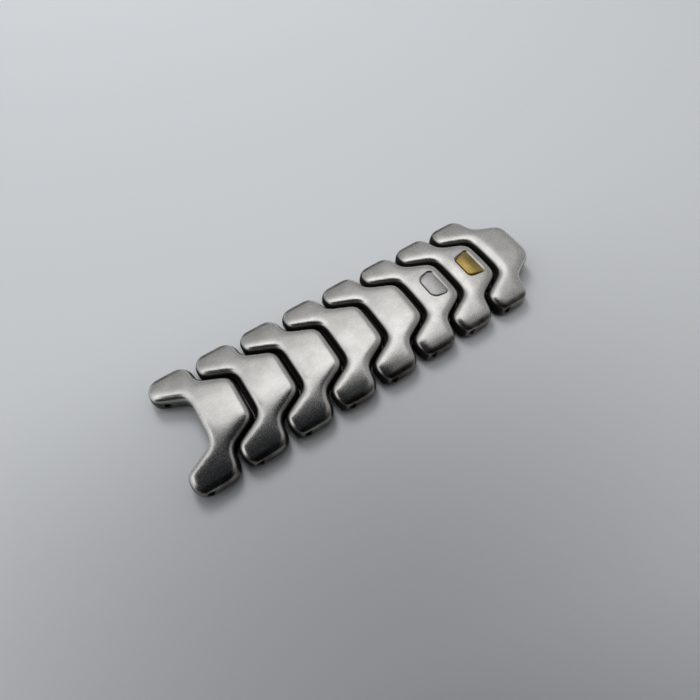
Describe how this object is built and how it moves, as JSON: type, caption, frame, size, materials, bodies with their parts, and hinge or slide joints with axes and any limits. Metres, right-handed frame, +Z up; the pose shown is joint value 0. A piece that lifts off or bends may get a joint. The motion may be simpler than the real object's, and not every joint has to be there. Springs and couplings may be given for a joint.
{
  "type": "watch bracelet link strip",
  "caption": "Strip of domed, H-shaped steel watch bracelet links joined by cross pins, with an open fork at one end, a free tongue at the other, and plain plates set into the top.",
  "frame": {"origin": "middle of the strip's flat underside, at the centre of its length and width", "axes": "+X along the strip from the open fork towards the free tongue, +Y across the strip along the hinge pins, +Z up out of the domed top"},
  "size_m": [0.0658, 0.02, 0.0037],
  "materials": {
    "link_steel": "fine satin, softly tumbled edges",
    "pin_steel": "drawn rod with turned ends",
    "collar_steel": "drawn tube",
    "inlay_steel": "fine blasted steel with bevelled edge",
    "inlay_gold": "satin gold colour with polished bevel"
  },
  "bodies": {
    "link_1": {"link_1": "link_steel"},
    "link_2": {"link_2": "link_steel", "hinge_pin_1": "pin_steel", "pin_collar_1": "collar_steel"},
    "link_3": {"link_3": "link_steel", "hinge_pin_2": "pin_steel", "pin_collar_2": "collar_steel"},
    "link_4": {"link_4": "link_steel", "hinge_pin_3": "pin_steel", "pin_collar_3": "collar_steel"},
    "link_5": {"link_5": "link_steel", "hinge_pin_4": "pin_steel", "pin_collar_4": "collar_steel"},
    "link_6": {"link_6": "link_steel", "hinge_pin_5": "pin_steel", "pin_collar_5": "collar_steel", "steel_inlay": "inlay_steel"},
    "link_7": {"link_7": "link_steel", "hinge_pin_6": "pin_steel", "pin_collar_6": "collar_steel", "gold_inlay": "inlay_gold"},
    "link_8": {"link_8": "link_steel", "hinge_pin_7": "pin_steel", "pin_collar_7": "collar_steel"}
  },
  "joints": [
    {"name": "hinge_1", "type": "hinge", "parent": "link_2", "child": "link_1", "pos_m": [-0.02325, 0, 0.00125], "axis": [0, -1, 0], "range_deg": [-10, 30]},
    {"name": "hinge_2", "type": "hinge", "parent": "link_3", "child": "link_2", "pos_m": [-0.01555, 0, 0.00125], "axis": [0, -1, 0], "range_deg": [-10, 30]},
    {"name": "hinge_3", "type": "hinge", "parent": "link_4", "child": "link_3", "pos_m": [-0.00785, 0, 0.00125], "axis": [0, -1, 0], "range_deg": [-10, 30]},
    {"name": "hinge_4", "type": "hinge", "parent": "link_4", "child": "link_5", "pos_m": [-0.00015, 0, 0.00125], "axis": [0, 1, 0], "range_deg": [-10, 30]},
    {"name": "hinge_5", "type": "hinge", "parent": "link_5", "child": "link_6", "pos_m": [0.00755, 0, 0.00125], "axis": [0, 1, 0], "range_deg": [-10, 30]},
    {"name": "hinge_6", "type": "hinge", "parent": "link_6", "child": "link_7", "pos_m": [0.01525, 0, 0.00125], "axis": [0, 1, 0], "range_deg": [-10, 30]},
    {"name": "hinge_7", "type": "hinge", "parent": "link_7", "child": "link_8", "pos_m": [0.02295, 0, 0.00125], "axis": [0, 1, 0], "range_deg": [-10, 30]}
  ]
}
